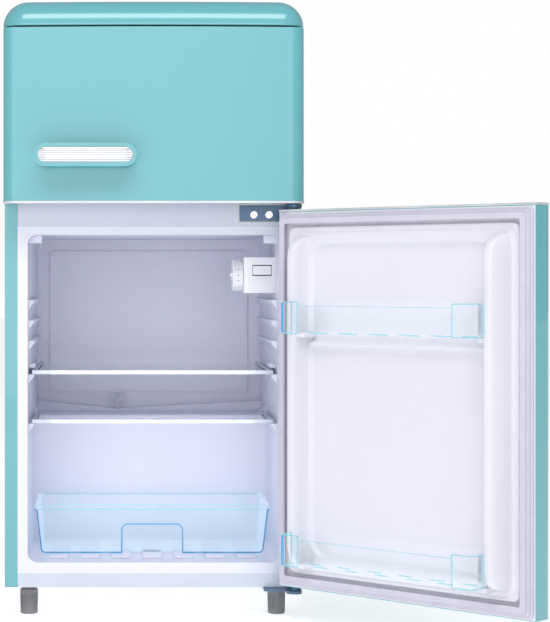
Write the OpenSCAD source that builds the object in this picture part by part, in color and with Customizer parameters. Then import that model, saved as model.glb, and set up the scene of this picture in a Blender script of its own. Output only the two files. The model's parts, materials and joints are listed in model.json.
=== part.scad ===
// Compact top freezer refrigerator with rounded cap, two right-hinged doors,
// two slide-out shelves, a crisper drawer and two lift-off door bins.
// Millimetres. X to the right, Y to the back, Z up. The origin is on the floor,
// below the middle of the cabinet's front face.

/* [Cabinet] */
// Width of the cabinet and of both doors
body_w = 430; // [420:5:450]
// Depth of the cabinet without its doors
body_d = 440; // [430:5:470]
// Height of the steel case's top above the floor
case_top = 850; // [846:2:870]
// Height of the feet, up to the cabinet's underside
foot_h = 42; // [38:1:46]
// Radius of the cap's rounded front and sides
cap_r = 37; // [30:1:40]
// Thickness of the painted steel sheet
sheet = 1; // [0.8:0.1:1.2]
// Thickness of the plastic liners
liner_t = 2; // [1.5:0.1:2.4]

/* [Doors] */
// How far the lower door stands open, in degrees
door_open = 135; // [0:1:150]
// Depth of a door's flat sides
door_t = 40; // [36:1:44]
// How far a door's front bows out in the middle
door_bow = 9; // [4:1:14]
// Rounding of a door's upright front edges
door_edge_r = 18; // [10:1:20]
// Gap between a door and the cabinet, filled by the gasket
door_gap = 12; // [11:0.5:13]
// Height of the ridges on the fridge door's inner panel
ridge_h = 37; // [25:1:38]
// Radius of the hinge pins
pin_r = 4; // [3:0.5:4.5]

/* [Fridge compartment] */
// Half the width of the fridge compartment's mouth
mouth_half = 182; // [180:1:184]
// Depth of the fridge compartment above the step
fridge_depth = 385; // [370:5:390]
// Depth of the fridge compartment below the step
lower_depth = 225; // [220:1:235]
// Height of the upper shelf's top face above the floor
upper_shelf_z = 353; // [345:1:370]
// Depth of the crisper drawer
drawer_d = 152; // [130:1:154]
// Height of the crisper drawer
drawer_h = 73; // [60:1:80]

/* [Handles] */
// Length of a door handle
handle_l = 145; // [120:1:160]
// Height of a door handle
handle_h = 33; // [26:1:36]
// Finger gap behind a handle
handle_gap = 24; // [20:1:30]

/* [Hidden] */

// Colours
teal = "#7cc8cf";
white = "#f2f2f6";
pale = "#d5dcea";
clear_blue = "#bfe4f4";
steel = "#8d96a3";
dark = "#4a4c52";
copper = "#b87348";

eps = 0.01;
half_w = body_w / 2;

// Front face levels
return_w = 18.5;
flange_half = half_w - return_w;
rail_top = 62;
mouth_bottom = 78;
mouth_top = 553;
divider_bottom = 565;
divider_top = 620;
freezer_bottom = 632;
freezer_top = 820;
freezer_flange_top = 830;
freezer_half = 172;
freezer_depth = 330;
front_t = 2;
corner_r = 14;

// The step over the compressor, its bay and the drain
step_z = 276;
bay_y = 272;
bay_top = 230;
bay_ceiling = bay_top - sheet;
bay_half = half_w - sheet;
drain_x = -52;
drain_y = 366;
drain_z = 278;
gutter_z = 285;

// Levels of the doors
lower_z0 = foot_h + 8;
lower_z1 = 585;
upper_z0 = 600;
upper_z1 = case_top - 2.5;
trim_t = 3;
hinge_x = half_w - 13;
hinge_y = -30;
bush_r = 8;
bush_l = 15;
pin_clear = 0.05;
arm_z = 591.5;
arm_t = 4;
top_arm_r = 8;

// A door's plan: flat sides, round edges and a bowed front
door_back = -door_gap;
door_front = -door_gap - door_t - door_bow;
bow_r = (pow(half_w, 2) + pow(door_bow, 2)) / (2 * door_bow);

// Door ridges and bins
ridge_out = 174;
ridge_in = 158;
ridge_round = 30;
ridge_z0 = mouth_bottom + 7;
ridge_z1 = mouth_top - 5;
panel_t = 5;
panel_edge = 20;
bin_wide = 161;
bin_narrow = 155.5;
bin_depth = 64;
bin_h = 45;
bin_t = 2;
lower_bin_z = 90;
upper_bin_z = 413;

// Shelves, drawer and controls
shelf_half = 177;
shelf_y = 32;
glass_t = 4;
frame_h = 6;
lower_shelf_z = step_z + 5;
rib_reach = 8;
pad_h = 4;
drawer_half = 174;
drawer_y = 66;
drawer_z = mouth_bottom + pad_h;
drawer_t = 2.2;
box_x = 135;
box_y = 60;
box_z0 = 468;
box_z1 = 521;
box_d = 120;
knob_r = 24;
knob_t = 15;
knob_y = 88;
knob_z = (box_z0 + box_z1) / 2;

function arc_points(c, r, a0, a1, n) =
    [for (i = [0:n]) let(a = a0 + (a1 - a0) * i / n) c + r * [cos(a), sin(a)]];

// The door's outline in plan, drawn inset from its outer surface
function door_outline(inset) =
    let(half = half_w - inset, r = door_edge_r - inset, big = bow_r - inset,
        yc = door_front + bow_r, cx = half - r,
        cy = yc - sqrt(pow(big - r, 2) - cx * cx), phi = asin(cx / (big - r)))
    concat([[half, door_back]],
        arc_points([cx, cy], r, 0, phi - 90, 8),
        arc_points([0, yc], big, phi - 90 - phi / 12, -phi - 90 + phi / 12, 22),
        arc_points([-cx, cy], r, -phi - 90, -180, 8),
        [[-half, door_back]]);

function front_y(x) = door_front + bow_r - sqrt(bow_r * bow_r - x * x);

// A rectangle with round corners, centred in X, from z0 to z1, in the XZ plane
module face_rect(half, z0, z1, r) {
    for (s = [-1, 1]) for (z = [z0 + r, z1 - r])
        translate([s * (half - r), z]) circle(r = r, $fn = 48);
    translate([-half + r, z0]) square([2 * (half - r), z1 - z0]);
    translate([-half, z0 + r]) square([2 * half, z1 - z0 - 2 * r]);
}

// Pushes a shape drawn in the XZ plane back from y0 to y1
module through_y(y0, y1) {
    translate([0, y1, 0]) rotate([90, 0, 0]) linear_extrude(y1 - y0) children();
}

module box(lo, hi) {
    translate(lo) cube(hi - lo);
}

// A box with round upright corners
module round_box(x0, x1, y0, y1, z0, z1, r) {
    translate([0, 0, z0]) linear_extrude(z1 - z0) {
        for (x = [x0 + r, x1 - r]) for (y = [y0 + r, y1 - r])
            translate([x, y]) circle(r = r, $fn = 40);
        translate([x0 + r, y0]) square([x1 - x0 - 2 * r, y1 - y0]);
        translate([x0, y0 + r]) square([x1 - x0, y1 - y0 - 2 * r]);
    }
}

module on_both_sides() {
    for (s = [-1, 1]) mirror([s < 0 ? 1 : 0, 0, 0]) children();
}

module at_hinge() {
    translate([hinge_x, hinge_y, 0]) children();
}

// Turns what is drawn closed to where the lower door stands
module opened() {
    at_hinge() rotate(door_open) translate([-hinge_x, -hinge_y, 0]) children();
}

// ---- Cabinet ----

module outer_case() {
    color(teal) difference() {
        box([-half_w, 0, foot_h], [half_w, body_d - sheet, case_top]);
        box([-half_w + sheet, sheet, foot_h - 1], [half_w - sheet, body_d, case_top - sheet]);
        box([-flange_half, -1, foot_h - 1], [flange_half, sheet + 1, freezer_flange_top]);
    }
}

module cap_solid(r, inset) {
    half = half_w + 1 - inset;
    hull() {
        for (i = [-4:4]) {
            x = i / 4 * (half - r);
            translate([x, front_y(x) - 1 + inset + r, case_top]) sphere(r = r, $fn = 48);
        }
        for (s = [-1, 1])
            translate([s * (half - r), body_d, case_top])
                rotate([90, 0, 0]) cylinder(r = r, h = 4, $fn = 48);
    }
}

module top_cap() {
    cap_wall = 14;
    color(teal) difference() {
        cap_solid(cap_r, 0);
        box([-half_w - 9, -120, case_top - cap_r - 9], [half_w + 9, body_d + 9, case_top]);
        box([-half_w + cap_wall, door_front + cap_wall, case_top - 1],
            [half_w - cap_wall, body_d - 4, case_top + 22]);
        hinge_arm(case_top - 1, 5.5, top_arm_r + 1);
    }
}

module back_panel() {
    color(steel) difference() {
        box([-half_w, body_d - sheet, bay_top], [half_w, body_d, case_top]);
        for (p = standoffs)
            translate([p[0], body_d + 1, p[1]]) rotate([90, 0, 0]) cylinder(r = 2.05, h = 4, $fn = 24);
    }
}

module base_pan() {
    color(steel) difference() {
        union() {
            box([-half_w + sheet, front_t, foot_h], [half_w - sheet, body_d - sheet, foot_h + 2]);
            for (s = [-1, 1])
                translate([s * 181, 410, foot_h]) cylinder(r = 12, h = 6, $fn = 32);
        }
        for (s = [-1, 1]) {
            translate([s * 181, 30, foot_h - 1]) cylinder(r = 4.1, h = 9, $fn = 32);
            translate([s * 181, 410, foot_h - 1]) cylinder(r = 4.1, h = 9, $fn = 32);
        }
        for (x = [-50, -15, 20, 55]) box([x, 300, foot_h - 1], [x + 20, 420, foot_h + 3]);
    }
}

// Steel sheet that closes the foam off from the compressor bay
module bay_cover() {
    color(steel) difference() {
        box([-bay_half, bay_y, foot_h + 2], [bay_half, body_d - sheet, bay_top]);
        box([-bay_half - 1, bay_y + sheet, foot_h], [bay_half + 1, body_d, bay_ceiling]);
        translate([drain_x, drain_y, bay_top - 3]) cylinder(r = 9, h = 5, $fn = 32);
    }
}

// The fridge compartment's space, grown outwards by g
module fridge_space(g) {
    through_y(-1, lower_depth + g) face_rect(mouth_half + g, mouth_bottom - g, mouth_top + g, corner_r);
    through_y(-1, fridge_depth + g) face_rect(mouth_half + g, step_z - g, mouth_top + g, corner_r);
}

module freezer_space(g) {
    through_y(-1, freezer_depth + g)
        face_rect(freezer_half + g, freezer_bottom - g, freezer_top + g, corner_r);
}

module foam_core() {
    color("#e8dcae") difference() {
        box([-bay_half, front_t, foot_h + 2], [bay_half, body_d - sheet, case_top - sheet]);
        fridge_space(liner_t);
        freezer_space(liner_t);
        box([-bay_half - 1, bay_y, foot_h], [bay_half + 1, body_d, bay_top]);
        translate([drain_x, drain_y, bay_top - 1]) cylinder(r = 9, h = 60, $fn = 32);
        for (s = [-1, 1]) translate([s * 181, 30, foot_h]) cylinder(r = 6, h = 24, $fn = 32);
        for (p = standoffs)
            translate([p[0], body_d, p[1]]) rotate([90, 0, 0]) cylinder(r = 2.05, h = 12, $fn = 24);
    }
}

// A bracket along a side wall, under a shelf whose underside is at z
module shelf_rib(z, y1) {
    through_y(28, y1) polygon([[mouth_half - rib_reach, z - 3], [mouth_half - rib_reach, z],
        [mouth_half, z], [mouth_half, z - 14]]);
}

// Moulded ribs, lugs and pads inside both liners
module liner_ribs() {
    rack_z = 716;
    color(white) {
        on_both_sides() {
            for (z = [upper_shelf_z - 4, 398, 428, 458]) shelf_rib(z, 340);
            shelf_rib(lower_shelf_z - 4, lower_depth);
            // lug over the upper shelf, against tipping
            box([mouth_half - rib_reach, 60, upper_shelf_z + 4], [mouth_half, 120, upper_shelf_z + 9]);
            // stiffened upper corners
            intersection() {
                box([mouth_half - 20, 20, mouth_top - 12], [mouth_half, 34, mouth_top]);
                fridge_space(0);
            }
            // runners of the freezer rack
            box([freezer_half - 7, 20, rack_z], [freezer_half, 300, rack_z + 4]);
        }
        // pads on the floor under the drawer
        for (i = [-3:3])
            box([i * 46 - 14, 40, mouth_bottom], [i * 46 + 14, 200, mouth_bottom + pad_h]);
    }
}

module fridge_liner() {
    color(white) difference() {
        union() {
            difference() {
                union() {
                    through_y(0, front_t) face_rect(flange_half, rail_top, divider_bottom, 1);
                    intersection() {
                        fridge_space(liner_t);
                        box([-half_w, 0, 0], [half_w, body_d, case_top]);
                    }
                }
                fridge_space(0);
            }
            // raised panel on the back wall, over the evaporator
            through_y(fridge_depth - 3, fridge_depth + 1) face_rect(162, 304, 534, 6);
            // drain gutter that falls from both sides to the drain
            intersection() {
                through_y(fridge_depth - 40, fridge_depth + 1) polygon([
                    [-mouth_half - 1, step_z - 1], [-mouth_half - 1, gutter_z + 6],
                    [drain_x, drain_z], [mouth_half + 1, gutter_z + 6], [mouth_half + 1, step_z - 1]]);
                fridge_space(liner_t);
            }
        }
        translate([drain_x, drain_y, step_z - 9]) cylinder(r = 5, h = 30, $fn = 32);
    }
}

module freezer_liner() {
    color(white) difference() {
        union() {
            through_y(0, front_t)
                face_rect(flange_half, divider_top, freezer_flange_top, 1);
            intersection() {
                freezer_space(liner_t);
                box([-half_w, 0, 0], [half_w, body_d, case_top]);
            }
        }
        freezer_space(0);
    }
}

module divider_rail() {
    color(pale) difference() {
        box([-flange_half, 0, divider_bottom], [flange_half, front_t, divider_top]);
        box([125, -1, 572], [flange_half + 1, front_t + 1, arm_z + arm_t + 0.5]);
    }
}

module bottom_rail() {
    color(pale) box([-flange_half, 0, foot_h], [flange_half, front_t, rail_top]);
}

// ---- Hinges and feet ----

module hinge_arm(z, t, r) {
    translate([0, 0, z]) linear_extrude(t) {
        translate([hinge_x, hinge_y]) circle(r = r, $fn = 40);
        translate([hinge_x - r, hinge_y]) square([2 * r, -hinge_y]);
    }
}

module pin(z0, z1) {
    at_hinge() translate([0, 0, z0]) cylinder(r = pin_r, h = z1 - z0, $fn = 48);
}

module screw_hole(x, z) {
    translate([x, front_t + 1, z]) rotate([90, 0, 0]) cylinder(r = 4.2, h = front_t + 2, $fn = 32);
}

module middle_hinge() {
    color(steel) difference() {
        union() {
            box([126, 0, 573], [flange_half - 0.5, front_t, arm_z + arm_t]);
            hinge_arm(arm_z, arm_t, 11);
            pin(arm_z - 13, arm_z + arm_t + 14);
        }
        for (x = [146, 168]) screw_hole(x, 582);
    }
}

module top_hinge() {
    color(steel) difference() {
        union() {
            box([140, -8, case_top], [half_w - 15, 60, case_top + 3]);
            hinge_arm(case_top, 3, top_arm_r);
            pin(upper_z1 - 12, case_top + 3);
        }
        for (y = [18, 44]) translate([160, y, case_top - 1]) cylinder(r = 4.2, h = 9, $fn = 32);
    }
}

module bottom_hinge() {
    color(steel) difference() {
        union() {
            box([160, -12, foot_h - 4], [half_w - 2, 70, foot_h]);
            hinge_arm(foot_h - 4, 4, 11);
            pin(foot_h - 4, lower_z0 + 12);
        }
        translate([181, 30, foot_h - 5]) cylinder(r = 4.1, h = 9, $fn = 32);
        translate([200, 55, foot_h - 5]) cylinder(r = 4.2, h = 9, $fn = 32);
    }
}

// A screw head with a cross recess, lying along +Z with its top at z = 0
module screw_head(t) {
    difference() {
        translate([0, 0, -t]) cylinder(r = 4.15, h = t, $fn = 32);
        for (a = [0, 90]) rotate(a) box([-2.6, -0.5, -t * 0.6], [2.6, 0.5, 1]);
    }
}

module hinge_screws() {
    color(steel) {
        for (x = [146, 168]) translate([x, 0, 582]) rotate([90, 0, 0]) screw_head(front_t);
        for (y = [18, 44]) translate([160, y, case_top + 3]) screw_head(3);
        translate([200, 55, foot_h - 4]) rotate([180, 0, 0]) screw_head(3.9);
    }
}

module foot(top) {
    difference() {
        rotate_extrude($fn = 48)
            polygon([[0, 0], [11.5, 0], [12.5, 1.5], [13.2, top - 7], [13.2, top - 3], [10, top], [0, top]]);
        for (i = [0:23]) rotate(i * 15) box([12.4, -0.5, 4], [15, 0.5, top - 9]);
    }
}

module front_feet() {
    color(dark) {
        for (s = [-1, 1]) translate([s * 181, 30, 0]) {
            foot(foot_h - 4);
            translate([0, 0, foot_h - 4 - eps]) cylinder(r = 4, h = 24, $fn = 32);
        }
        // spacer as thick as the hinge plate on the other side
        translate([-181, 30, foot_h - 4 - eps]) difference() {
            cylinder(r = 11, h = 4 + eps, $fn = 40);
            translate([0, 0, -1]) cylinder(r = 3.9, h = 9, $fn = 32);
        }
    }
}

module rear_feet() {
    color(dark) for (s = [-1, 1]) translate([s * 181, 410, 0]) {
        foot(foot_h);
        translate([0, 0, foot_h - eps]) cylinder(r = 4, h = 10, $fn = 32);
    }
}

// ---- Cooling system in the bay and on the back ----

comp_x = -70;
comp_y = 352;
comp_r = 64;
comp_z = foot_h + 22;
comp_h = 122;

module compressor() {
    color("#202124") translate([comp_x, comp_y, comp_z]) union() {
        rotate_extrude($fn = 72) polygon(concat([[0, 0]],
            arc_points([comp_r - 14, 14], 14, -90, 0, 6),
            [[comp_r, 58], [comp_r + 2, 58], [comp_r + 2, 63], [comp_r, 63]],
            arc_points([comp_r - 40, comp_h - 40], 40, 0, 90, 12), [[0, comp_h]]));
        for (a = [45, 135, 225, 315]) rotate(a)
            box([comp_r - 22, -11, -6], [comp_r + 14, 11, 0]);
        box([-28, -28, -6], [28, 28, 0.5]);
        box([comp_r - 12, -12, 28], [comp_r + 3, 12, 44]);
        for (a = [45, 135]) rotate(a) box([-comp_r, -8, -6], [comp_r, 8, 0]);
    }
}

module compressor_mounts() {
    color("#2a2a2a") translate([comp_x, comp_y, 0]) for (a = [45, 135, 225, 315]) rotate(a)
        translate([comp_r + 5, 0, foot_h + 2]) rotate_extrude($fn = 32)
            polygon([[0, 0], [8, 0], [6.5, 3], [6.5, 10], [8, 14], [0, 14]]);
}

module relay_cover() {
    color(dark) box([comp_x + comp_r + 3, comp_y - 24, comp_z + 16],
        [comp_x + comp_r + 30, comp_y + 24, comp_z + 54]);
}

module drip_tray() {
    color(dark) translate([0, 0, comp_z + comp_h]) difference() {
        round_box(comp_x - 70, comp_x + 70, comp_y - 66, comp_y + 66, 0, 28, 10);
        round_box(comp_x - 68, comp_x + 68, comp_y - 64, comp_y + 64, 2, 29, 8);
    }
}

module drain_tube() {
    color(white) translate([drain_x, drain_y, 0]) difference() {
        translate([0, 0, comp_z + 136]) cylinder(r = 8.7, h = step_z - liner_t - comp_z - 136, $fn = 40);
        translate([0, 0, comp_z + 135]) cylinder(r = 6.5, h = 100, $fn = 40);
    }
}

drier = [90, 310, 96];
drier_h = 82;

module filter_drier() {
    color(copper) translate(drier) rotate_extrude($fn = 40)
        polygon([[0, 0], [3, 0], [3, 8], [9, 16], [9, 66], [3, 74], [3, drier_h], [0, drier_h]]);
}

// A straight rod from point a to point b
module tube_run(a, b, r) {
    d = b - a;
    l = norm(d);
    translate(a) rotate([0, acos(d[2] / l), atan2(d[1], d[0])]) cylinder(r = r, h = l, $fn = 24);
}

module pipe(points, r) {
    for (i = [0:len(points) - 2]) tube_run(points[i], points[i + 1], r);
    for (i = [1:len(points) - 2]) translate(points[i]) sphere(r = r, $fn = 24);
}

module refrigerant_pipes() {
    r = 2.4;
    outlet = drier + [0, 0, drier_h];
    end_x = -cond_half - 3;
    side_x = -cond_half - 30;
    top_z = cond_z0 + (cond_runs - 1) * cond_pitch;
    color(copper) difference() {
        union() {
            // from the condenser down to the drier
            pipe([[-cond_half, cond_y, cond_z0], [end_x, cond_y, cond_z0], [end_x, cond_y, 222],
                [outlet[0], cond_y, 222], [outlet[0], outlet[1], 222], outlet], r);
            // from the drier up to the evaporator
            pipe([drier, drier - [0, 0, 16], drier + [30, 0, -16], [drier[0] + 30, drier[1], bay_ceiling]], r);
            // suction line back to the compressor
            pipe([[comp_x + 40, drier[1], 138], [30, drier[1], 138], [30, drier[1], bay_ceiling]], r);
            // discharge line up to the condenser
            pipe([[comp_x - 30, 400, 90], [side_x, 400, 90], [side_x, 400, 215], [side_x, cond_y, 215],
                [side_x, cond_y, top_z], [-cond_half, cond_y, top_z]], r);
        }
        translate([comp_x, comp_y, comp_z]) cylinder(r = comp_r, h = comp_h - 40, $fn = 72);
    }
}

cond_y = body_d + 8;
cond_half = 165;
cond_pitch = 36;
cond_z0 = 280;
cond_runs = 14;
standoffs = [for (x = [-150, 150]) for (i = [1, 12]) [x, cond_z0 + i * cond_pitch]];

module condenser_tube() {
    r = 2.4;
    color("#26282b") {
        for (i = [0:cond_runs - 1])
            translate([-cond_half, cond_y, cond_z0 + i * cond_pitch])
                rotate([0, 90, 0]) cylinder(r = r, h = 2 * cond_half, $fn = 24);
        for (i = [0:cond_runs - 2])
            translate([(i % 2 == 0 ? 1 : -1) * cond_half, cond_y, cond_z0 + (i + 0.5) * cond_pitch])
                rotate([90, 0, 0]) rotate(i % 2 == 0 ? -90 : 90)
                    rotate_extrude(angle = 180, $fn = 48)
                        translate([cond_pitch / 2, 0]) circle(r = r, $fn = 24);
    }
}

module condenser_wires() {
    wire_r = 0.8;
    gap = 0.05;
    color("#26282b") for (i = [-11:11])
        translate([i * 14, cond_y + 2.4 + wire_r + gap, cond_z0 - 14])
            cylinder(r = wire_r, h = (cond_runs - 1) * cond_pitch + 28, $fn = 16);
}

module condenser_standoffs() {
    color(dark) for (p = standoffs) translate([p[0], body_d - 10, p[1]]) rotate([-90, 0, 0]) {
        cylinder(r = 2, h = 10, $fn = 24);
        translate([0, 0, 10]) cylinder(r = 6, h = cond_y - 2.4 - body_d, $fn = 32);
    }
}

// Plate with the gland that the supply cord comes out of
module power_inlet() {
    color(dark) difference() {
        union() {
            box([150, 430, foot_h + 2], [190, 436, 100]);
            translate([170, 446, 80]) rotate([90, 0, 0]) cylinder(r = 9, h = 12, $fn = 40);
        }
        translate([170, 450, 80]) rotate([90, 0, 0]) cylinder(r = 4.5, h = 30, $fn = 32);
    }
}

module freezer_evaporator() {
    plate_y = freezer_depth - 3;
    color("#c9ced4") union() {
        through_y(plate_y, freezer_depth)
            face_rect(freezer_half - 8, freezer_bottom + 10, freezer_top - 10, 6);
        for (i = [0:6]) box([-150, plate_y - 3, freezer_bottom + 22 + i * 22],
            [150, plate_y, freezer_bottom + 29 + i * 22]);
        for (i = [0:5]) {
            s = i % 2 == 0 ? 1 : -1;
            box([s > 0 ? 143 : -150, plate_y - 3, freezer_bottom + 22 + i * 22],
                [s > 0 ? 150 : -143, plate_y, freezer_bottom + 51 + i * 22]);
        }
    }
}

// ---- Thermostat and lamp ----

switch_x0 = 149;
switch_x1 = 176;
switch_z0 = 494;
switch_z1 = 509;

module thermostat_housing() {
    color(white) difference() {
        round_box(box_x, mouth_half + 6, box_y, box_y + box_d, box_z0, box_z1, 6);
        round_box(box_x + 2.4, mouth_half + 9, box_y + 2.4, box_y + box_d - 2.4,
            box_z0 + 2.4, box_z1 - 2.4, 4);
        box([mouth_half, 0, 0], [half_w, body_d, case_top]);
        box([switch_x0 - 0.6, box_y - 1, switch_z0 - 0.6], [switch_x1 + 0.6, box_y + 9, switch_z1 + 0.6]);
        box([144, 120, box_z0 - 1], [176, 168, box_z0 + 5]);
        translate([box_x - 1, knob_y, knob_z]) rotate([0, 90, 0]) cylinder(r = 4.1, h = 9, $fn = 40);
        for (i = [0:4]) box([150 + i * 6, 150, box_z1 - 4], [152.5 + i * 6, 172, box_z1 + 1]);
    }
}

module lamp_lens() {
    color("#eef6ff") difference() {
        box([144, 120, box_z0 - 4], [176, 168, box_z0 + 2.2]);
        box([146, 122, box_z0 - 2.4], [174, 166, box_z0 + 9]);
    }
}

module lamp_bulb() {
    color("#fff7dc") translate([mouth_half, 144, 492]) rotate([0, -90, 0]) {
        cylinder(r = 8, h = 13, $fn = 40);
        translate([0, 0, 13]) cylinder(r = 6, h = 4, $fn = 40);
        translate([0, 0, 23]) sphere(r = 8.5, $fn = 40);
    }
}

module thermostat_knob() {
    color(white) translate([box_x - 0.5, knob_y, knob_z]) rotate([0, -90, 0]) difference() {
        union() {
            rotate_extrude($fn = 72) polygon([[0, 0], [knob_r, 0], [knob_r, knob_t - 2], [knob_r - 2, knob_t],
                [knob_r - 7, knob_t], [knob_r - 8, knob_t - 2], [0, knob_t - 2]]);
            translate([0, 0, -6]) cylinder(r = 4, h = 7, $fn = 40);
            box([-3, -knob_r + 8, knob_t - 3], [3, knob_r - 8, knob_t + 3]);
        }
        for (i = [0:35]) rotate(i * 10) box([knob_r - 0.7, -0.6, 2], [knob_r + 1, 0.6, knob_t - 3]);
    }
}

module light_switch() {
    xc = (switch_x0 + switch_x1) / 2;
    zc = (switch_z0 + switch_z1) / 2;
    color(white) translate([xc, box_y + 4, zc]) rotate([0, 90, 0])
        translate([0, 0, -(switch_x1 - switch_x0) / 2]) linear_extrude(switch_x1 - switch_x0)
            polygon([[-6.9, 1.5], [-6.6, -4.6], [0, -3], [6.6, -3.2], [6.9, 1.5], [0, 3.4]]);
}

module drain_plunger() {
    color(white) translate([drain_x, drain_y, 0]) {
        translate([0, 0, step_z - 28]) cylinder(r = 3, h = 41, $fn = 32);
        translate([0, 0, drain_z + 1]) cylinder(r = 6, h = 2, $fn = 32);
        translate([0, 0, drain_z + 20]) rotate([90, 0, 0]) rotate_extrude($fn = 48)
            translate([8, 0]) circle(r = 2.2, $fn = 24);
    }
}

// ---- Shelves and drawer ----

module shelf_glass(z, y1) {
    color(clear_blue, 0.4) box([-shelf_half + 3, shelf_y + 5, z - glass_t + 1], [shelf_half - 3, y1, z]);
}

module shelf_frame(z, y1) {
    color(pale) difference() {
        union() {
            box([-shelf_half, shelf_y, z - frame_h + 2], [shelf_half, shelf_y + 8, z + 2]);
            on_both_sides()
                box([shelf_half - 6, shelf_y + 8 - eps, z - frame_h + 2], [shelf_half, y1, z + 2]);
        }
        box([-shelf_half + 3, shelf_y + 5, z - glass_t + 1], [shelf_half - 3, y1 + 1, z]);
        box([-shelf_half + 6, shelf_y + 8, z - 9], [shelf_half - 6, y1 + 1, z + 9]);
    }
}

// A tub that narrows towards its floor
module drawer_shape(inset) {
    hull() {
        round_box(-drawer_half + 8 + inset, drawer_half - 8 - inset, drawer_y + 3 + inset,
            drawer_y + drawer_d - 3 - inset, drawer_z + inset, drawer_z + inset + 1, 8);
        round_box(-drawer_half + 2 + inset, drawer_half - 2 - inset, drawer_y + inset,
            drawer_y + drawer_d - inset, drawer_z + drawer_h - 1,
            drawer_z + drawer_h + (inset > 0 ? 1 : 0), 8);
    }
}

pull_half = 44;
pull_top = 124;
pull_depth = 14;

module pull_shape(g, y1) {
    through_y(drawer_y - 2, y1 + g) intersection() {
        face_rect(pull_half + g, drawer_z - 20, pull_top + g, 9);
        translate([-60, drawer_z - (g > 0 ? 0 : 3)]) square([120, 60]);
    }
}

module crisper_drawer() {
    color(clear_blue, 0.4) difference() {
        union() {
            difference() {
                drawer_shape(0);
                drawer_shape(drawer_t);
            }
            difference() {
                round_box(-drawer_half, drawer_half, drawer_y - 2, drawer_y + drawer_d,
                    drawer_z + drawer_h - 8, drawer_z + drawer_h, 9);
                round_box(-drawer_half + 3.5, drawer_half - 3.5, drawer_y + 1.5,
                    drawer_y + drawer_d - 3.5, drawer_z + drawer_h - 20, drawer_z + drawer_h + 1, 7);
            }
            intersection() {
                pull_shape(2.2, drawer_y + pull_depth);
                drawer_shape(0);
            }
        }
        pull_shape(0, drawer_y + pull_depth);
    }
}

module freezer_shelf() {
    z = 720;
    color(steel) {
        for (s = [-1, 1]) translate([s * (freezer_half - 5), 30, z + 2.5])
            rotate([-90, 0, 0]) cylinder(r = 2.5, h = 260, $fn = 24);
        for (y = [30, 290]) translate([-freezer_half + 5, y, z + 2.5])
            rotate([0, 90, 0]) cylinder(r = 2.5, h = 2 * freezer_half - 10, $fn = 24);
        for (s = [-1, 1]) for (y = [30, 290])
            translate([s * (freezer_half - 5), y, z + 2.5]) sphere(r = 2.5, $fn = 24);
        for (i = [-7:7]) translate([i * 21, 30, z + 2.5])
            rotate([-90, 0, 0]) cylinder(r = 1.5, h = 260, $fn = 16);
    }
}

// ---- Doors, drawn closed ----

module door_solid(z0, z1, inset) {
    translate([0, 0, z0]) linear_extrude(z1 - z0) polygon(door_outline(inset));
}

module bush_space(z0, z1) {
    for (z = [z0 - 1, z1 - bush_l])
        at_hinge() translate([0, 0, z]) cylinder(r = bush_r, h = bush_l + 1, $fn = 48);
}

module door_shell(z0, z1) {
    color(teal) difference() {
        door_solid(z0, z1, 0);
        door_solid(z0 + sheet, z1 - sheet, sheet);
        box([-half_w + sheet, door_back - 3, z0 + sheet], [half_w - sheet, 1, z1 - sheet]);
        bush_space(z0, z1);
    }
}

module door_foam(z0, z1) {
    color("#e8dcae") difference() {
        door_solid(z0 + sheet, z1 - sheet, sheet);
        box([-half_w, door_back - liner_t, z0], [half_w, 9, z1]);
        bush_space(z0, z1);
    }
}

module door_bushes(z0, z1) {
    color(white) at_hinge() for (z = [z0, z1 - bush_l]) translate([0, 0, z]) difference() {
        cylinder(r = bush_r, h = bush_l, $fn = 48);
        translate([0, 0, z == z0 ? -1 : 1.5])
            cylinder(r = pin_r + pin_clear, h = bush_l - 0.5, $fn = 48);
    }
}

module gasket_ring(z0, z1, out, w, y0, y1) {
    difference() {
        through_y(y0, y1) face_rect(half_w - out, z0 + out, z1 - out, 6);
        through_y(y0 - 1, y1 + 1) face_rect(half_w - out - w, z0 + out + w, z1 - out - w, 4);
    }
}

// The lip stays nearer to the hinge's axis than the cabinet's front face is
module door_gasket(z0, z1) {
    lip = half_w - hinge_x - 3.5;
    color("#e6e6ea") union() {
        gasket_ring(z0, z1, 3, 13, door_back, door_back + 3);
        gasket_ring(z0, z1, 6, 7, door_back + 3 - eps, door_back + 7);
        gasket_ring(z0, z1, lip, 8, door_back + 7 - eps, -0.5);
    }
}

// A strip along the door's top or bottom edge, standing a little proud
module door_trim(z) {
    color("silver") difference() {
        translate([0, 0, z]) linear_extrude(trim_t) polygon(door_outline(-0.8));
        at_hinge() translate([0, 0, z - 1]) cylinder(r = bush_r, h = trim_t + 2, $fn = 48);
    }
}

// An oblong in the XZ plane
module oblong(l, h) {
    for (s = [-1, 1]) translate([s * (l - h) / 2, 0]) circle(d = h, $fn = 64);
    square([l - h, h], center = true);
}

module door_handle(x, z, z0, z1) {
    plate_y = front_y(x) - handle_gap;
    color(teal) difference() {
        union() {
            translate([x, 0, z]) through_y(plate_y - 9, plate_y) oblong(handle_l, handle_h);
            for (s = [-1, 1]) translate([x + s * (handle_l / 2 - 17), 0, z])
                through_y(plate_y - eps, 0) oblong(26, 20);
        }
        door_solid(z0, z1, 0);
        box([x - handle_l, door_back - door_edge_r, z - handle_h], [x + handle_l, 9, z + handle_h]);
        translate([x, 0, z]) through_y(plate_y - 10, plate_y - 6) oblong(handle_l - 11, handle_h - 11);
    }
}

module door_grip(x, z) {
    plate_y = front_y(x) - handle_gap;
    l = handle_l - 11.4;
    h = handle_h - 11.4;
    color("white") translate([x, 0, z]) hull() {
        through_y(plate_y - 9, plate_y - 6) oblong(l, h);
        through_y(plate_y - 12, plate_y - 9) square([l - h, h - 9], center = true);
    }
}

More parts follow.
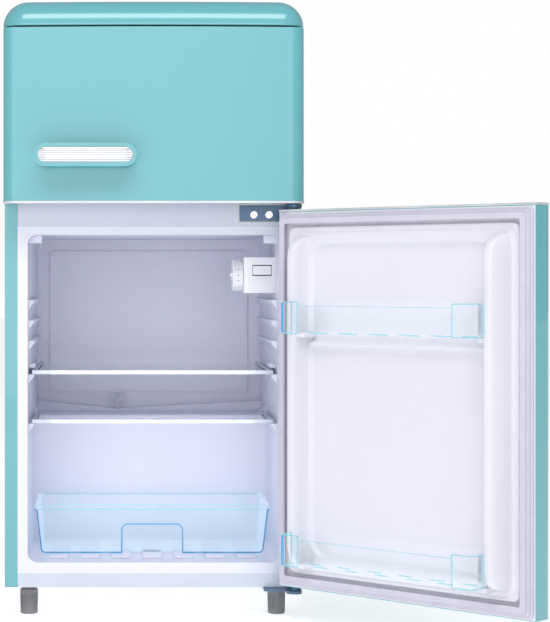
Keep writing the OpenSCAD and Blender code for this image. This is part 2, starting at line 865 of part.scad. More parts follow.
handle_x = -97;
freezer_handle_z = 664;
lower_handle_z = lower_z1 - 64;

// An upright ridge with round ends, drawn in the YZ plane and as wide as it says
module ridge(x0, x1) {
    h = ridge_h;
    r = ridge_round;
    profile = concat([[0, ridge_z0]], arc_points([h - r, ridge_z0 + r], r, -90, 0, 10),
        arc_points([h - r, ridge_z1 - r], r, 0, 90, 10), [[0, ridge_z1]]);
    translate([x0, door_back, 0]) rotate([90, 0, 90]) linear_extrude(x1 - x0) polygon(profile);
}

module lower_door_liner() {
    color(white) union() {
        difference() {
            union() {
                box([-half_w + sheet, door_back - liner_t, lower_z0 + sheet],
                    [half_w - sheet, door_back, lower_z1 - sheet]);
                through_y(door_back - eps, door_back + panel_t)
                    face_rect(half_w - panel_edge, lower_z0 + panel_edge, lower_z1 - panel_edge, 12);
            }
            through_y(door_back, door_back + 9)
                face_rect(ridge_in, ridge_z0 + 12, ridge_z1 - 8, 30);
        }
        on_both_sides() {
            ridge(ridge_in, ridge_out);
            for (z = [lower_bin_z, upper_bin_z])
                box([ridge_in - 12, door_back, z - 6], [ridge_in + 1, door_back + 30, z]);
        }
        through_y(door_back - eps, door_back + 9)
            face_rect(ridge_in + 2, upper_bin_z - 22, upper_bin_z - 10, 4);
    }
}

module freezer_door_liner() {
    color(white) difference() {
        union() {
            box([-half_w + sheet, door_back - liner_t, upper_z0 + sheet],
                [half_w - sheet, door_back, upper_z1 - sheet]);
            through_y(door_back - eps, door_back + 22)
                face_rect(freezer_half - 8, freezer_bottom + 8, freezer_top - 8, 16);
        }
        through_y(door_back + 4, door_back + 30)
            face_rect(freezer_half - 22, freezer_bottom + 22, freezer_top - 22, 12);
    }
}

// A door bin: a narrow part between the ridges and a wider front over them
module door_bin(z) {
    y0 = door_back + panel_t + 0.5;
    y1 = door_back + ridge_h + 0.8;
    y2 = door_back + bin_depth;
    color(clear_blue, 0.4) difference() {
        union() {
            box([-bin_narrow, y0, z], [bin_narrow, y2 - 9, z + bin_h]);
            round_box(-bin_wide, bin_wide, y1, y2, z, z + bin_h, 7);
        }
        box([-bin_narrow + bin_t, y0 + bin_t, z + bin_t], [bin_narrow - bin_t, y2 - 9, z + bin_h + 1]);
        round_box(-bin_wide + bin_t, bin_wide - bin_t, y1 + bin_t, y2 - bin_t, z + bin_t, z + bin_h + 1, 5);
        // the front panel stops lower than the end caps
        box([-bin_wide + 32, y2 - 12, z + bin_h - 5], [bin_wide - 32, y2 + 1, z + bin_h + 1]);
        for (i = [-5:5]) {
            y = y1 + (i % 2 == 0 ? 4 : -14);
            box([i * 26 - 11, y, z - 1], [i * 26 + 11, y + 5, z + bin_t + 1]);
        }
    }
}

// ---- Nodes ----

outer_case();
top_cap();
back_panel();
base_pan();
bay_cover();
foam_core();
fridge_liner();
freezer_liner();
liner_ribs();
divider_rail();
bottom_rail();
top_hinge();
middle_hinge();
bottom_hinge();
hinge_screws();
front_feet();
rear_feet();
compressor();
compressor_mounts();
relay_cover();
drip_tray();
drain_tube();
filter_drier();
refrigerant_pipes();
condenser_tube();
condenser_wires();
condenser_standoffs();
power_inlet();
freezer_evaporator();
thermostat_housing();
lamp_bulb();
lamp_lens();
thermostat_knob();
light_switch();
drain_plunger();
shelf_glass(upper_shelf_z, 352);  // upper_shelf_glass
shelf_frame(upper_shelf_z, 352);  // upper_shelf_frame
shelf_glass(lower_shelf_z, 220);  // lower_shelf_glass
shelf_frame(lower_shelf_z, 220);  // lower_shelf_frame
crisper_drawer();
freezer_shelf();
opened() door_shell(lower_z0, lower_z1);  // lower_door_shell
opened() door_foam(lower_z0, lower_z1);  // lower_door_foam
opened() lower_door_liner();
opened() door_gasket(lower_z0, lower_z1);  // lower_door_gasket
opened() door_trim(lower_z1);  // lower_door_trim
opened() door_bushes(lower_z0, lower_z1);  // lower_door_bushes
opened() door_handle(handle_x, lower_handle_z, lower_z0, lower_z1);  // lower_door_handle
opened() door_grip(handle_x, lower_handle_z);  // lower_door_grip
opened() door_bin(upper_bin_z);  // upper_bin
opened() door_bin(lower_bin_z);  // lower_bin
door_shell(upper_z0, upper_z1);  // freezer_door_shell
door_foam(upper_z0, upper_z1);  // freezer_door_foam
freezer_door_liner();
door_gasket(upper_z0, upper_z1);  // freezer_door_gasket
door_trim(upper_z0 - trim_t);  // freezer_door_trim
door_bushes(upper_z0, upper_z1);  // freezer_door_bushes
door_handle(handle_x, freezer_handle_z, upper_z0, upper_z1);  // freezer_door_handle
door_grip(handle_x, freezer_handle_z);  // freezer_door_grip
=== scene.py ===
import json
import math

import bmesh
import bpy
from mathutils import Matrix, Vector


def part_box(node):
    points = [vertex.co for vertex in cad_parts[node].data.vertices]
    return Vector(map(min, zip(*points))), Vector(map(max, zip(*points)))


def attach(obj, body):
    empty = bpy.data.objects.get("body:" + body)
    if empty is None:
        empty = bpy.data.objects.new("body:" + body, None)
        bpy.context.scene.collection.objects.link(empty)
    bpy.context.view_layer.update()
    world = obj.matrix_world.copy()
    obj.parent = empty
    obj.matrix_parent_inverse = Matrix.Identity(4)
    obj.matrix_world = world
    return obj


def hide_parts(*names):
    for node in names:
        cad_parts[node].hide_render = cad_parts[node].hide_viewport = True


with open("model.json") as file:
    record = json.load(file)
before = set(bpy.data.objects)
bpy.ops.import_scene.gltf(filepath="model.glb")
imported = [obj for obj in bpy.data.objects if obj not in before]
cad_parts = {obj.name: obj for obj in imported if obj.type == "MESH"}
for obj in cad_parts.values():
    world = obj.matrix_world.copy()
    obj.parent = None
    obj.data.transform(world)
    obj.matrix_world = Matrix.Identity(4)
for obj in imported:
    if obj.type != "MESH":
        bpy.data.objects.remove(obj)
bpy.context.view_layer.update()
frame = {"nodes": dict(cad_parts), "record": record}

MM = 0.001
RECORD = frame["record"]
SLOT_OF = {part["node"]: part["material_slot"] for part in RECORD["subparts"]}
BODY_OF = {node: body for body, nodes in RECORD["behaviour"]["bodies"].items() for node in nodes}
JOINT = {joint["name"]: joint for joint in RECORD["behaviour"]["joints"]}


# ---- Camera ----

def make_camera():
    """Stands left of the middle and level with the thermostat, a little under three metres away."""
    data = bpy.data.cameras.new("camera")
    data.sensor_fit = "VERTICAL"
    data.sensor_height = 36
    data.lens = 115.8
    data.shift_x = 0.257
    data.shift_y = -0.056
    camera = bpy.data.objects.new("camera", data)
    camera.location = (-0.055, -2.90, 0.493)
    camera.rotation_euler = (math.radians(90), 0, 0)
    bpy.context.scene.collection.objects.link(camera)
    bpy.context.scene.camera = camera


# ---- Light and floor ----

def add_area(name, location, target, size, size_y, power, colour=(1, 1, 1)):
    data = bpy.data.lights.new(name, "AREA")
    data.shape = "RECTANGLE"
    data.size = size
    data.size_y = size_y
    data.energy = power
    data.color = colour
    light = bpy.data.objects.new(name, data)
    light.location = location
    direction = Vector(target) - Vector(location)
    light.rotation_euler = direction.to_track_quat("-Z", "Y").to_euler()
    bpy.context.scene.collection.objects.link(light)


def make_world():
    """White to look at, softer as a light."""
    world = bpy.data.worlds.new("studio")
    world.use_nodes = True
    bpy.context.scene.world = world
    tree = world.node_tree
    tree.nodes.clear()
    path = tree.nodes.new("ShaderNodeLightPath")
    seen = tree.nodes.new("ShaderNodeBackground")
    seen.inputs["Color"].default_value = (1, 1, 1, 1)
    lit = tree.nodes.new("ShaderNodeBackground")
    lit.inputs["Color"].default_value = (0.95, 0.965, 1.0, 1)
    lit.inputs["Strength"].default_value = 0.36
    mix = tree.nodes.new("ShaderNodeMixShader")
    out = tree.nodes.new("ShaderNodeOutputWorld")
    tree.links.new(path.outputs["Is Camera Ray"], mix.inputs[0])
    tree.links.new(lit.outputs[0], mix.inputs[1])
    tree.links.new(seen.outputs[0], mix.inputs[2])
    tree.links.new(mix.outputs[0], out.inputs[0])


def make_stage():
    """A wide pale floor, open on every side."""
    half = 20.0
    mesh = bpy.data.meshes.new("studio_floor")
    bm = bmesh.new()
    bmesh.ops.create_grid(bm, x_segments=4, y_segments=4, size=half)
    bm.to_mesh(mesh)
    bm.free()
    floor = bpy.data.objects.new("studio_floor", mesh)
    bpy.context.scene.collection.objects.link(floor)
    mesh.materials.append(stage_material())


def stage_material():
    """Pale, and lit a little from within so that it reads as white out to its edge."""
    m, shader, _ = new_material("studio_floor")
    shader.inputs["Base Color"].default_value = (0.9, 0.9, 0.91, 1)
    shader.inputs["Roughness"].default_value = 0.9
    shader.inputs["Emission Color"].default_value = (1, 1, 1, 1)
    shader.inputs["Emission Strength"].default_value = 0.58
    return m


# ---- Materials ----

def new_material(name):
    m = bpy.data.materials.new(name)
    m.use_nodes = True
    tree = m.node_tree
    return m, tree.nodes["Principled BSDF"], tree


def two_tone(tree, fac, dark, light, start=0.3, end=0.7):
    """Colours from dark to light as fac goes from start to end."""
    ramp = tree.nodes.new("ShaderNodeValToRGB")
    ramp.color_ramp.elements[0].position = start
    ramp.color_ramp.elements[1].position = end
    ramp.color_ramp.elements[0].color = (*dark, 1)
    ramp.color_ramp.elements[1].color = (*[min(1, c) for c in light], 1)
    tree.links.new(fac, ramp.inputs["Fac"])
    return ramp.outputs["Color"]


def ranged(tree, fac, low, high):
    node = tree.nodes.new("ShaderNodeMapRange")
    node.inputs["To Min"].default_value = low
    node.inputs["To Max"].default_value = high
    tree.links.new(fac, node.inputs["Value"])
    return node.outputs["Result"]


def raised(tree, shader, height, strength, distance):
    bump = tree.nodes.new("ShaderNodeBump")
    bump.inputs["Strength"].default_value = strength
    bump.inputs["Distance"].default_value = distance
    tree.links.new(height, bump.inputs["Height"])
    tree.links.new(bump.outputs["Normal"], shader.inputs["Normal"])


def noise(tree, place, scale, detail):
    node = tree.nodes.new("ShaderNodeTexNoise")
    node.inputs["Scale"].default_value = scale
    node.inputs["Detail"].default_value = detail
    tree.links.new(place, node.inputs["Vector"])
    return node.outputs["Fac"]


def place_of(tree):
    return tree.nodes.new("ShaderNodeTexCoord").outputs["Object"]


def mottled(name, colour, rough, shade=0.05, spot=14.0, grain=900.0, bump=0.0002, spread=0.05, **sockets):
    """A surface whose colour and roughness drift a little, over a fine raised grain.
    spot and grain are in cells per metre, bump in metres."""
    m, shader, tree = new_material(name)
    place = place_of(tree)
    broad = noise(tree, place, spot, 4)
    fine = noise(tree, place, grain, 2)
    tint = two_tone(tree, broad, [c * (1 - shade) for c in colour], [c * (1 + shade) for c in colour])
    tree.links.new(tint, shader.inputs["Base Color"])
    tree.links.new(ranged(tree, broad, max(0.02, rough - spread), rough + spread), shader.inputs["Roughness"])
    raised(tree, shader, fine, 0.35, bump)
    for socket, value in sockets.items():
        shader.inputs[socket.replace("_", " ")].default_value = value
    return m


def brushed(name, colour, rough, across=(60.0, 60.0, 2200.0), bump=0.00012, metallic=1.0, contrast=0.11):
    """Metal with fine parallel lines. across is the lines' density along X, Y and Z."""
    m, shader, tree = new_material(name)
    stretch = tree.nodes.new("ShaderNodeMapping")
    stretch.inputs["Scale"].default_value = across
    tree.links.new(place_of(tree), stretch.inputs["Vector"])
    lines = noise(tree, stretch.outputs["Vector"], 1.0, 3)
    tint = two_tone(tree, lines, [c * (1 - contrast) for c in colour], [c * (1 + contrast) for c in colour])
    tree.links.new(tint, shader.inputs["Base Color"])
    tree.links.new(ranged(tree, lines, rough * 0.7, rough * 1.3), shader.inputs["Roughness"])
    raised(tree, shader, lines, 0.3, bump)
    shader.inputs["Metallic"].default_value = metallic
    return m


def ribbed(name, colour, pitch):
    """Bright plated plastic with fine level ribs, painted darker in their troughs as painted shade. pitch is
    in metres.
    """
    m, shader, tree = new_material(name)
    wave = tree.nodes.new("ShaderNodeTexWave")
    wave.bands_direction = "Z"
    wave.inputs["Scale"].default_value = math.tau / (20 * pitch)
    tree.links.new(place_of(tree), wave.inputs["Vector"])
    # The rib troughs are painted down to 0.55 of the colour: painted shade in the grooves
    tint = two_tone(tree, wave.outputs["Fac"], [c * 0.55 for c in colour], colour, 0.1, 0.6)
    tree.links.new(tint, shader.inputs["Base Color"])
    raised(tree, shader, wave.outputs["Fac"], 0.6, 0.0006)
    shader.inputs["Roughness"].default_value = 0.22
    shader.inputs["Metallic"].default_value = 0.35
    return m


def clear(name, colour, face_alpha, edge_alpha, rough=0.06, painted_glow=0.0):
    """Clear moulding: nearly see-through face on, tinted where it is seen along its wall.
    The emission strength is a painted glow: it lights its walls in the plastic's own colour, though they are
    no lamp."""
    m, shader, tree = new_material(name)
    flow = noise(tree, place_of(tree), 18, 2)
    tint = two_tone(tree, flow, [c * 0.94 for c in colour], [c * 1.05 for c in colour])
    tree.links.new(tint, shader.inputs["Base Color"])
    facing = tree.nodes.new("ShaderNodeLayerWeight")
    facing.inputs["Blend"].default_value = 0.3
    alpha = ranged(tree, facing.outputs["Facing"], face_alpha, edge_alpha)
    tree.links.new(alpha, shader.inputs["Alpha"])
    raised(tree, shader, flow, 0.15, 0.0006)
    shader.inputs["Roughness"].default_value = rough
    # Emission in the plastic's own colour: painted glow, not light that the walls really pass on
    shader.inputs["Emission Color"].default_value = (*colour, 1)
    shader.inputs["Emission Strength"].default_value = painted_glow
    return m


TEAL = (0.122, 0.395, 0.435)

MATERIALS = {
    "painted_teal": mottled("painted_teal", TEAL, 0.26, 0.012, 5, 420, 0.0001, 0.03, Coat_Weight=0.6),
    "teal_plastic": mottled("teal_plastic", TEAL, 0.22, 0.015, 6, 500, 0.0001, 0.03, Coat_Weight=0.5),
    "pale_paint": mottled("pale_paint", (0.56, 0.60, 0.70), 0.35, 0.03, 9, 700, 0.0001, 0.04),
    "galvanised": brushed("galvanised", (0.60, 0.63, 0.66), 0.42, (22, 22, 26)),
    "bracket_steel": brushed("bracket_steel", (0.09, 0.145, 0.23), 0.36, (900, 60, 60), metallic=0.5),
    "white_plastic": mottled("white_plastic", (0.70, 0.69, 0.755), 0.32, 0.01, 8, 900, 0.00006, 0.04),
    "control_plastic": mottled("control_plastic", (0.70, 0.71, 0.75), 0.26, 0.012, 20, 1500, 0.00006, 0.04),
    "foam": mottled("foam", (0.82, 0.72, 0.47), 0.85, 0.12, 90, 600, 0.0008, 0.05),
    # The door bins' clear plastic carries a painted glow of 0.4
    "clear_plastic": clear("clear_plastic", (0.74, 0.90, 0.98), 0.02, 0.15, painted_glow=0.4),
    "shelf_glass": clear("shelf_glass", (0.60, 0.66, 0.82), 0.04, 0.3, 0.03),
    "shelf_trim": brushed("shelf_trim", (0.50, 0.54, 0.62), 0.25, (60, 60, 1500), metallic=0.7),
    "chrome_trim": brushed("chrome_trim", (0.86, 0.87, 0.89), 0.1, (12, 12, 40), 0.00003),
    "gasket_rubber": mottled("gasket_rubber", (0.56, 0.54, 0.63), 0.6, 0.03, 30, 1400, 0.0001, 0.06),
    "foot_plastic": mottled("foot_plastic", (0.19, 0.19, 0.205), 0.5, 0.15, 60, 1200, 0.0003, 0.08),
    "black_paint": mottled("black_paint", (0.018, 0.018, 0.02), 0.38, 0.2, 25, 700, 0.0003, 0.08,
                           Coat_Weight=0.3),
    "dark_plastic": mottled("dark_plastic", (0.04, 0.04, 0.043), 0.5, 0.15, 40, 1400, 0.0002, 0.08),
    "black_rubber": mottled("black_rubber", (0.02, 0.02, 0.02), 0.75, 0.2, 60, 1600, 0.0003, 0.08),
    "copper": brushed("copper", (0.72, 0.38, 0.22), 0.28, (400, 400, 400)),
    "aluminium": brushed("aluminium", (0.78, 0.80, 0.82), 0.34, (1600, 60, 60)),
    "bulb_glass": mottled("bulb_glass", (0.95, 0.92, 0.80), 0.35, 0.03, 40, 900, 0.0001, 0.05),
}
# The crisper's plastic carries a stronger painted glow of 0.8
CRISPER = clear("crisper_plastic", (0.66, 0.84, 1.0), 0.06, 0.2, painted_glow=0.8)
LINER = mottled("liner_plastic", (0.715, 0.725, 0.83), 0.34, 0.01, 8, 900, 0.00006, 0.04)
BLUE_EDGE = mottled("blue_edge", (0.045, 0.36, 0.70), 0.12, 0.06, 30, 800, 0.00005, 0.03, Alpha=0.85)
CYAN_EDGE = mottled("cyan_edge", (0.26, 0.66, 0.74), 0.12, 0.06, 30, 800, 0.00005, 0.03, Alpha=0.8)
GRIP_INSERT = ribbed("grip_insert", (0.80, 0.81, 0.85), 0.0030)
EDGE_TRIM = brushed("edge_trim", (0.60, 0.62, 0.635), 0.3, (12, 12, 40), 0.00003, metallic=0.25)
DARK_MARK = mottled("dark_mark", (0.10, 0.10, 0.11), 0.5, 0.08, 40, 1200, 0.00005, 0.05)

# Nodes with a finish of their own instead of their slot's
OWN_FINISH = {
    "lower_door_grip": GRIP_INSERT, "freezer_door_grip": GRIP_INSERT,
    "lower_door_trim": EDGE_TRIM, "freezer_door_trim": EDGE_TRIM,
    "fridge_liner": LINER, "liner_ribs": LINER, "freezer_liner": LINER,
    "crisper_drawer": CRISPER, "hinge_screws": MATERIALS["chrome_trim"],
}


def cover_all_nodes():
    for name, node in frame["nodes"].items():
        node.data.materials.clear()
        node.data.materials.append(OWN_FINISH.get(name, MATERIALS[SLOT_OF[name]]))


# ---- Pieces ----

def add_piece(name, bm, material, body, sharp=40):
    """Makes a mesh piece of bm that rides on body. Edges over sharp degrees stay crisp."""
    bmesh.ops.recalc_face_normals(bm, faces=bm.faces)
    mesh = bpy.data.meshes.new(name)
    for face in bm.faces:
        face.smooth = True
    bm.to_mesh(mesh)
    bm.free()
    mesh.set_sharp_from_angle(angle=math.radians(sharp))
    mesh.materials.append(material)
    piece = bpy.data.objects.new(name, mesh)
    bpy.context.scene.collection.objects.link(piece)
    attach(piece, body)
    return piece


WELD = 0.003  # mm, joins the corners that the CAD mesh repeats
FLAT_ANGLE = 0.2  # degrees, faces this close to flat are merged
EDGE_ANGLE = 28  # degrees, edges sharper than this are rounded


def soften(name, width):
    """Replaces a CAD node by the same shape with its edges rounded over width mm."""
    bm = bmesh.new()
    bm.from_mesh(frame["nodes"][name].data)
    for layers in (bm.loops.layers.int, bm.loops.layers.float_vector, bm.loops.layers.uv):
        for layer in list(layers.values()):
            layers.remove(layer)
    bmesh.ops.remove_doubles(bm, verts=bm.verts, dist=WELD * MM)
    bmesh.ops.dissolve_limit(bm, angle_limit=math.radians(FLAT_ANGLE), verts=bm.verts, edges=bm.edges)
    limit = math.radians(EDGE_ANGLE)
    edges = [e for e in bm.edges if len(e.link_faces) == 2 and e.calc_face_angle() > limit]
    bmesh.ops.bevel(bm, geom=edges, offset=width * MM, segments=2, profile=0.5, affect="EDGES",
                    clamp_overlap=True)
    material = frame["nodes"][name].data.materials[0]
    piece = add_piece(name + "_soft", bm, material, BODY_OF[name], 50)
    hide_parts(name)
    flats = piece.modifiers.new("flats", "WEIGHTED_NORMAL")
    flats.keep_sharp = True


# How wide each node's edges are rounded, in mm
SOFT_EDGES = {
    "fridge_liner": 0.9, "freezer_liner": 0.9, "liner_ribs": 0.8, "divider_rail": 0.5, "bottom_rail": 0.6,
    "thermostat_housing": 1.2, "light_switch": 0.5, "lamp_lens": 0.4,
    "upper_shelf_frame": 0.8, "lower_shelf_frame": 0.8, "upper_shelf_glass": 0.4, "lower_shelf_glass": 0.4,
    "outer_case": 0.4, "back_panel": 0.3, "relay_cover": 1.5, "base_pan": 0.4, "bay_cover": 0.4,
    "lower_door_gasket": 0.9, "freezer_door_gasket": 0.9, "freezer_door_liner": 1.5,
    "lower_door_handle": 1.4, "freezer_door_handle": 1.4,
}


def soften_edges():
    for name, width in SOFT_EDGES.items():
        soften(name, width)


def ring_verts(bm, points):
    """Adds vertices at points, which are in mm."""
    return [bm.verts.new((x * MM, y * MM, z * MM)) for x, y, z in points]


def join_rings(bm, rings, closed=True):
    """Skins between rings of equal length."""
    for a, b in zip(rings, rings[1:]):
        n = len(a)
        for i in range(n if closed else n - 1):
            bm.faces.new((a[i], a[(i + 1) % n], b[(i + 1) % n], b[i]))


def add_tube(bm, points, r, closed=False, sides=10):
    """A round rod of radius r along points, in mm, with flat ends if it isn't closed."""
    points = [Vector(p) for p in points]
    n = len(points)
    rings = []
    side = None
    for i, p in enumerate(points):
        before = points[i - 1] if closed or i > 0 else p
        after = points[(i + 1) % n] if closed or i < n - 1 else p
        along = (after - before).normalized()
        if side is None:
            side = along.orthogonal().normalized()
        side = (side - along * side.dot(along)).normalized()
        up = along.cross(side)
        rings.append(ring_verts(bm, [p + (side * math.cos(a) + up * math.sin(a)) * r
                                     for a in (math.tau * k / sides for k in range(sides))]))
    join_rings(bm, rings + rings[:1] if closed else rings)
    if not closed:
        bm.faces.new(rings[0])
        bm.faces.new(rings[-1])


def arc(cx, cy, r, a0, a1, n):
    """n + 1 points round a centre, from a0 to a1 degrees."""
    return [(cx + r * math.cos(math.radians(a0 + (a1 - a0) * i / n)),
             cy + r * math.sin(math.radians(a0 + (a1 - a0) * i / n))) for i in range(n + 1)]


# ---- Cap ----

BODY_HALF = 215
CAP_Z = 850
CAP_R = 37
CAP_WALL = 14
CAP_POCKET = 22
CAP_EDGE = 1.0
CAP_STEPS = 16
CAP_BACK = 440
CAP_BACK_WALL = 4
DOOR_BACK = -12
DOOR_FRONT = -61
DOOR_BOW = 9
BOW_R = (BODY_HALF ** 2 + DOOR_BOW ** 2) / (2 * DOOR_BOW)


def cap_outline(inset, z, back):
    """The cap's plan: a bowed front, round corners and a straight back."""
    half, r = BODY_HALF + 1 - inset, max(CAP_R - inset, 0.01)
    cx = half - r
    yc = DOOR_FRONT + BOW_R
    reach = BOW_R + 1 - CAP_R
    cy = yc - math.sqrt(reach ** 2 - cx ** 2)
    phi = math.degrees(math.asin(cx / reach))
    big = reach + r
    plan = [(half, back)] + arc(cx, cy, r, 0, phi - 90, 12)
    plan += arc(0, yc, big, phi - 90 - phi / 15, -phi - 90 + phi / 15, 28)
    plan += arc(-cx, cy, r, -phi - 90, -180, 12) + [(-half, back)]
    return [(x, y, z) for x, y in plan]


def make_cap():
    bm = bmesh.new()
    edge = CAP_EDGE
    inner = CAP_BACK - CAP_BACK_WALL
    levels = [(CAP_WALL, CAP_Z + CAP_POCKET, inner), (CAP_WALL, CAP_Z + edge, inner),
              (CAP_WALL - edge, CAP_Z, inner + edge), (edge, CAP_Z, CAP_BACK - edge),
              (0.3 * edge, CAP_Z + 0.3 * edge, CAP_BACK - 0.3 * edge), (0, CAP_Z + edge, CAP_BACK)]
    for i in range(1, CAP_STEPS + 1):
        a = math.radians(90) * i / CAP_STEPS
        rise = CAP_R * math.sin(a)
        if rise > edge:
            levels.append((CAP_R * (1 - math.cos(a)), CAP_Z + rise, CAP_BACK))
    rings = [ring_verts(bm, cap_outline(*level)) for level in levels]
    join_rings(bm, rings)
    bm.faces.new(rings[0])
    bm.faces.new(rings[-1])
    piece = add_piece("top_cap_smooth", bm, MATERIALS["teal_plastic"], "cabinet", 50)
    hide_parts("top_cap")


# ---- Fridge door's moulded panel ----

LOWER_Z0 = 50
LOWER_Z1 = 585
PANEL_EDGE = 20
PANEL_T = 5
RIDGE_H = 37
RIDGE_ROUND = 30
RIDGE_IN = 156
RIDGE_CREST = (160, 168)
RIDGE_OUT = 186
FRAME_LINE = 188
FRAME_GROOVE = 1.4
CROSS_BAR_H = 9
CROSS_BAR_DROP = 16
RIDGE_Z0 = 85
RIDGE_Z1 = 548
BIN_LEVELS = {"lower_bin": 90, "upper_bin": 413}


def opened_matrix():
    """Turns what is drawn on the closed door to where the fridge door stands at rest."""
    joint = JOINT["lower_door_hinge"]
    pivot = Vector(joint["pos_m"])
    turn = Matrix.Rotation(-math.radians(joint["range_deg"][0]), 4, "Z")
    return Matrix.Translation(pivot) @ turn @ Matrix.Translation(-pivot)


def smooth_step(value, start, end):
    t = min(1, max(0, (value - start) / (end - start)))
    return t * t * (3 - 2 * t)


def inside_rect(x, z, half, z0, z1, r):
    """How far a point is inside a rectangle with round corners; negative outside."""
    dx = abs(x) - (half - r)
    dz = abs(z - (z0 + z1) / 2) - ((z1 - z0) / 2 - r)
    return r - math.hypot(max(dx, 0), max(dz, 0)) - min(max(dx, dz), 0)


def ridge_height(z):
    """A ridge's height along the door: flat, with quarter-round ends."""
    down = max(RIDGE_Z0 + RIDGE_ROUND - z, z - RIDGE_Z1 + RIDGE_ROUND, 0)
    if down >= RIDGE_ROUND:
        return 0
    return RIDGE_H - RIDGE_ROUND + math.sqrt(RIDGE_ROUND ** 2 - down ** 2)


def panel_height(x, z):
    """How far the moulded panel stands off the door's back plane."""
    field = inside_rect(x, z, BODY_HALF - PANEL_EDGE, LOWER_Z0 + PANEL_EDGE, LOWER_Z1 - PANEL_EDGE, 12)
    height = PANEL_T * smooth_step(field, 0, 3)
    dish = inside_rect(x, z, RIDGE_IN, RIDGE_Z0 + 12, RIDGE_Z1 - 8, 30)
    height -= PANEL_T * smooth_step(dish, 0, 5)
    frame_line = abs(inside_rect(x, z, FRAME_LINE, RIDGE_Z0 - 8, RIDGE_Z1 + 8, 16))
    height -= FRAME_GROOVE * (1 - smooth_step(frame_line, 0, 2.2))
    side = abs(x)
    across = smooth_step(side, RIDGE_IN, RIDGE_CREST[0]) * (1 - smooth_step(side, RIDGE_CREST[1], RIDGE_OUT))
    height = max(height, ridge_height(z) * across)
    middle = BIN_LEVELS["upper_bin"] - CROSS_BAR_DROP
    bar = inside_rect(x, z - middle, RIDGE_IN + 2, -7, 7, 6)
    return max(height, CROSS_BAR_H * smooth_step(bar, 0, 5))


def spaced(marks):
    """Positions between marks (start, step), up to the last mark."""
    out = []
    for (start, step), (end, _) in zip(marks, marks[1:]):
        count = max(1, round((end - start) / step))
        out += [start + (end - start) * i / count for i in range(count)]
    return out + [marks[-1][0]]


def make_door_panel():
    """The panel as a grid that is finest where its shape bends."""
    half = BODY_HALF - 1
    right = spaced([(0, 15), (120, 3), (150, 1.2), (192, 1), (200, 5), (half, 1)])
    xs = [-x for x in reversed(right[1:])] + right
    zs = spaced([(LOWER_Z0 + 1, 5), (66, 1), (82, 1.5), (130, 12), (380, 1.5), (412, 12), (505, 1.5),
                 (558, 1), (568, 5), (LOWER_Z1 - 1, 1)])
    bm = bmesh.new()
    rows = [ring_verts(bm, [(x, DOOR_BACK + panel_height(x, z), z) for x in xs]) for z in zs]
    join_rings(bm, rows, closed=False)
    border = rows[0] + [row[-1] for row in rows[1:]] + rows[-1][-2::-1] + [row[0] for row in rows[-2:0:-1]]
    back = [bm.verts.new((v.co.x, (DOOR_BACK - 2) * MM, v.co.z)) for v in border]
    join_rings(bm, [border, back])
    bm.faces.new(back)
    bm.transform(opened_matrix())
    piece = add_piece("lower_door_panel", bm, MATERIALS["white_plastic"], "lower_door", 60)
    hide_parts("lower_door_liner")


BRACKET_SIZE = (13, 30, 6)


def make_bin_brackets():
    """Small rounded steps that the bins stand on."""
    bm = bmesh.new()
    for side in (-1, 1):
        for z in BIN_LEVELS.values():
            made = bmesh.ops.create_cube(bm, size=1)["verts"]
            bmesh.ops.scale(bm, vec=Vector(BRACKET_SIZE) * MM, verts=made)
            centre = (side * (RIDGE_IN - 3.5) * MM, (DOOR_BACK + 15) * MM, (z - 3) * MM)
            bmesh.ops.translate(bm, vec=centre, verts=made)
    bmesh.ops.bevel(bm, geom=bm.edges[:], offset=1.2 * MM, segments=2, profile=0.5, affect="EDGES")
    bm.transform(opened_matrix())
    add_piece("bin_brackets", bm, MATERIALS["white_plastic"], "lower_door", 50)


# ---- Clear mouldings ----

BIN_WIDE = 161
BIN_H = 45
BIN_Y1 = DOOR_BACK + RIDGE_H + 0.8
BIN_Y2 = DOOR_BACK + 64
BIN_CORNER = 7
BIN_STEP = 32
SLOT_PITCH = 26
SLOT_HALF = 11


def make_bin_edges(name, z):
    """Tinted rims of a door bin, where light gathers in the clear plastic."""
    top, low = z + BIN_H - 0.9, z + BIN_H - 6
    step = BIN_WIDE - BIN_STEP
    inset = 1.0
    bm = bmesh.new()
    for side in (-1, 1):
        x = side * (BIN_WIDE - inset)
        corner = arc(BIN_WIDE - inset - BIN_CORNER, BIN_Y2 - inset - BIN_CORNER, BIN_CORNER, 0, 90, 6)
        plan = [(x, BIN_Y1 + inset)] + [(side * px, py) for px, py in corner]
        plan.append((side * step, BIN_Y2 - inset))
        for level in (top, z + 1):
            add_tube(bm, [(px, py, level) for px, py in plan], 0.75)
        add_tube(bm, [(side * step, BIN_Y2 - inset, z + 1), (side * step, BIN_Y2 - inset, top)], 0.75)
        add_tube(bm, [(x, BIN_Y1 + inset, z + 1), (x, BIN_Y1 + inset, top)], 0.75)
    add_tube(bm, [(-step, BIN_Y2 - inset, low), (step, BIN_Y2 - inset, low)], 0.35)
    for i in range(-5, 6):
        y = BIN_Y1 + (4 if i % 2 == 0 else -14)
        middle = i * SLOT_PITCH
        add_tube(bm, [(middle - SLOT_HALF, y, z + 1), (middle + SLOT_HALF, y, z + 1)], 0.8)
    bm.transform(opened_matrix())
    add_piece(name + "_edges", bm, CYAN_EDGE, name)
    bm = bmesh.new()
    x, y = BIN_WIDE - 3.2, BIN_Y2 - 3.2
    add_tube(bm, [(x, y, z + 2), (x, y, z + BIN_H - 2)], 1.9, sides=14)
    bm.transform(opened_matrix())
    add_piece(name + "_corner", bm, BLUE_EDGE, name)


DRAWER_HALF = 174
DRAWER_Y = 66
DRAWER_Z = 82
DRAWER_H = 73
DRAWER_DEPTH = 150.5
PULL_HALF = 45.1
PULL_TOP = 125.2
PULL_R = 9


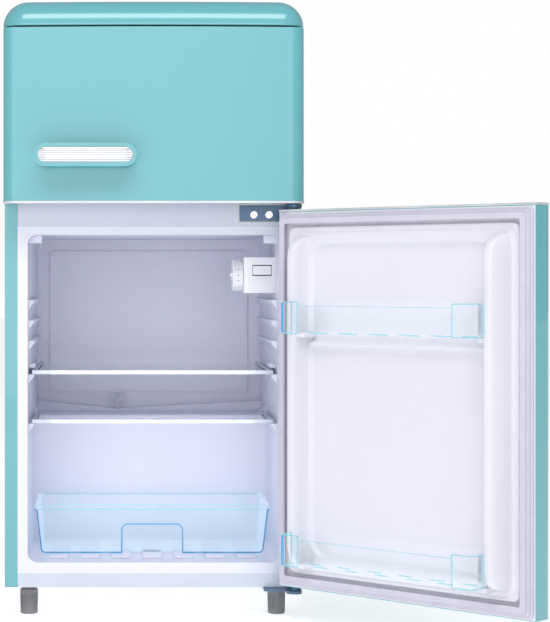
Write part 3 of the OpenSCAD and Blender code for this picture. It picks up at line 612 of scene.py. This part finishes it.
def make_drawer_edges():
    """Tinted outline of the crisper's front: its sides, foot and pull, and a faint rim."""
    floor = DRAWER_Z + 1.2
    rim = DRAWER_Z + DRAWER_H
    y_low, y_high = DRAWER_Y + 3.6, DRAWER_Y + 0.6
    wide, narrow = DRAWER_HALF - 3.2, DRAWER_HALF - 9.4
    bm = bmesh.new()
    side = [(PULL_HALF, y_low, floor), (narrow - 6, y_low, floor)]
    side += [(x, y_low, z) for x, z in arc(narrow - 6, floor + 6, 6, -75, 0, 5)]
    side += [(wide, y_high, rim - 9), (DRAWER_HALF - 1, y_high - 1.2, rim - 7.5)]
    for s in (-1, 1):
        add_tube(bm, [(s * x, y, z) for x, y, z in side], 1.05)
    pull = [(PULL_HALF, floor)] + arc(PULL_HALF - PULL_R, PULL_TOP - PULL_R, PULL_R, 0, 90, 6)
    pull += [(-x, z) for x, z in reversed(pull)]
    add_tube(bm, [(x, y_low - 0.6, z) for x, z in pull], 1.05)
    add_piece("crisper_outline", bm, BLUE_EDGE, "crisper")
    bm = bmesh.new()
    for level, reach in ((rim - 0.9, DRAWER_HALF - 6), (rim - 7.4, DRAWER_HALF - 6)):
        add_tube(bm, [(-reach, DRAWER_Y - 1.2, level), (reach, DRAWER_Y - 1.2, level)], 0.45)
    back = DRAWER_Y + DRAWER_DEPTH
    top = rim - 0.9
    for s in (-1, 1):
        x = s * (DRAWER_HALF - 1)
        add_tube(bm, [(x, DRAWER_Y + 7, top), (x, back - 8, top)], 0.7)
    add_tube(bm, [(-DRAWER_HALF + 9, back, top), (DRAWER_HALF - 9, back, top)], 0.6)
    add_piece("crisper_rim_lines", bm, CYAN_EDGE, "crisper")


# ---- Small details ----

SCREW_X = (146, 168)
SCREW_Z = 582
BRACKET_FACE = -2.2


def make_screw_rims():
    """Bright rims round the two screws in the middle hinge."""
    bm = bmesh.new()
    for x in SCREW_X:
        rim = [(px, BRACKET_FACE, pz) for px, pz in arc(x, SCREW_Z, 5, 0, 345, 23)]
        add_tube(bm, rim, 0.7, closed=True)
    add_piece("middle_hinge_screw_rims", bm, MATERIALS["chrome_trim"], "cabinet")


MARK_FROM_END = 13
MARK_ANGLES = (-22, 0, 22)


def make_knob_marks():
    """Three dark dots on the knob's rim that show its setting."""
    low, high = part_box("thermostat_knob")
    centre_y, centre_z = (low[1] + high[1]) / 2 / MM, (low[2] + high[2]) / 2 / MM
    radius = (high[1] - low[1]) / 2 / MM
    x = high[0] / MM - MARK_FROM_END
    bm = bmesh.new()
    for angle in MARK_ANGLES:
        a = math.radians(180 + angle)
        out = Vector((0, math.cos(a), math.sin(a)))
        start = Vector((x, centre_y, centre_z)) + out * (radius - 0.6)
        add_tube(bm, [start, start + out * 0.55], 1.3, sides=12)
    add_piece("thermostat_marks", bm, DARK_MARK, "thermostat_knob")


# ---- Scene ----

make_camera()
make_world()
make_stage()
add_area("key_above", (0.1, -1.6, 2.6), (0.1, 0, 0.6), 2.6, 0.9, 44)
add_area("strip_left", (-1.9, -1.5, 1.0), (0, 0, 0.5), 0.35, 2.4, 3)
add_area("fill_front", (-0.5, -3.4, 0.9), (0.05, 0, 0.4), 3.4, 1.6, 28)
add_area("fill_inside", (0, 0.02, 0.33), (0, 1, 0.33), 0.3, 0.4, 0.2)
cover_all_nodes()
soften_edges()
make_cap()
make_door_panel()
make_bin_brackets()
for bin_name, bin_z in BIN_LEVELS.items():
    make_bin_edges(bin_name, bin_z)
make_drawer_edges()
make_knob_marks()
make_screw_rims()
bpy.context.scene.view_settings.view_transform = "Standard"
